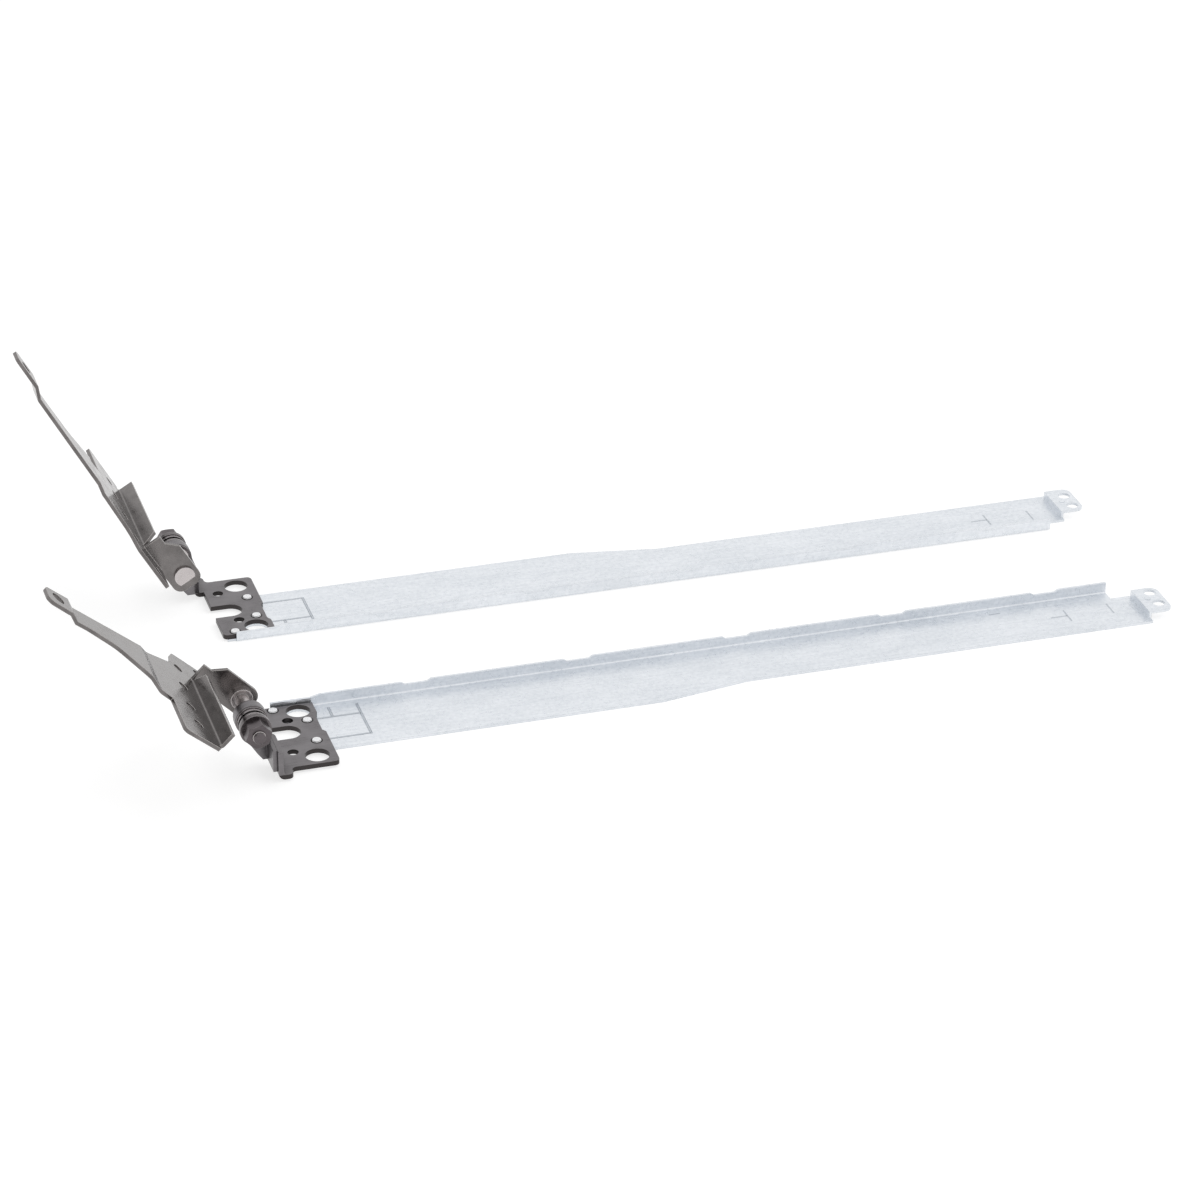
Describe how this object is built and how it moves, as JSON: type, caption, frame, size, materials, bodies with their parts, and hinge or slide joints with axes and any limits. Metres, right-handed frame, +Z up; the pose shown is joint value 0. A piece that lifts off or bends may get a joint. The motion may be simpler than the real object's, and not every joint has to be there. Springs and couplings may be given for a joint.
{
  "type": "laptop hinge pair",
  "caption": "Mirrored friction hinges for a laptop display: folded sheet strips with riveted hinge plates, and angled base brackets turning on clamped shafts",
  "frame": {"origin": "centre of the pair's box at rest, on the table that the strips lie on", "axes": "+X along the strips away from the hinges, +Y from the left hinge to the right hinge, +Z up from the table"},
  "size_m": [0.2784, 0.135, 0.0671],
  "materials": {
    "galvanised_sheet": "galvanised, satin",
    "dark_plate": "black nickel, satin",
    "bright_rivet": "bright",
    "grey_bracket": "satin nickel",
    "shaft_steel": "dark plated, glossy",
    "washer_steel": "dark, oiled",
    "spring_steel": "bright, oiled"
  },
  "bodies": {
    "lid_side": {"left_display_strip": "galvanised_sheet", "left_hinge_plate": "dark_plate", "left_plate_rivets": "bright_rivet", "left_stop_washer": "dark_plate", "right_display_strip": "galvanised_sheet", "right_hinge_plate": "dark_plate", "right_plate_rivets": "bright_rivet", "right_stop_washer": "dark_plate"},
    "left_base": {"left_base_bracket": "grey_bracket", "left_hinge_shaft": "shaft_steel", "left_inner_friction_washer": "washer_steel", "left_outer_friction_washer": "washer_steel", "left_disc_springs": "spring_steel", "left_pressure_washer": "washer_steel", "left_lock_nut": "shaft_steel"},
    "right_base": {"right_base_bracket": "grey_bracket", "right_hinge_shaft": "shaft_steel", "right_inner_friction_washer": "washer_steel", "right_outer_friction_washer": "washer_steel", "right_disc_springs": "spring_steel", "right_pressure_washer": "washer_steel", "right_lock_nut": "shaft_steel"}
  },
  "joints": [
    {"name": "left_hinge", "type": "hinge", "parent": "lid_side", "child": "left_base", "pos_m": [-0.0927, -0.0402, 0.0131], "axis": [0, 1, 0], "range_deg": [-15.5, 134.5]},
    {"name": "right_hinge", "type": "hinge", "parent": "lid_side", "child": "right_base", "pos_m": [-0.0927, 0.0402, 0.0131], "axis": [0, 1, 0], "range_deg": [-29.3, 120.7]}
  ]
}
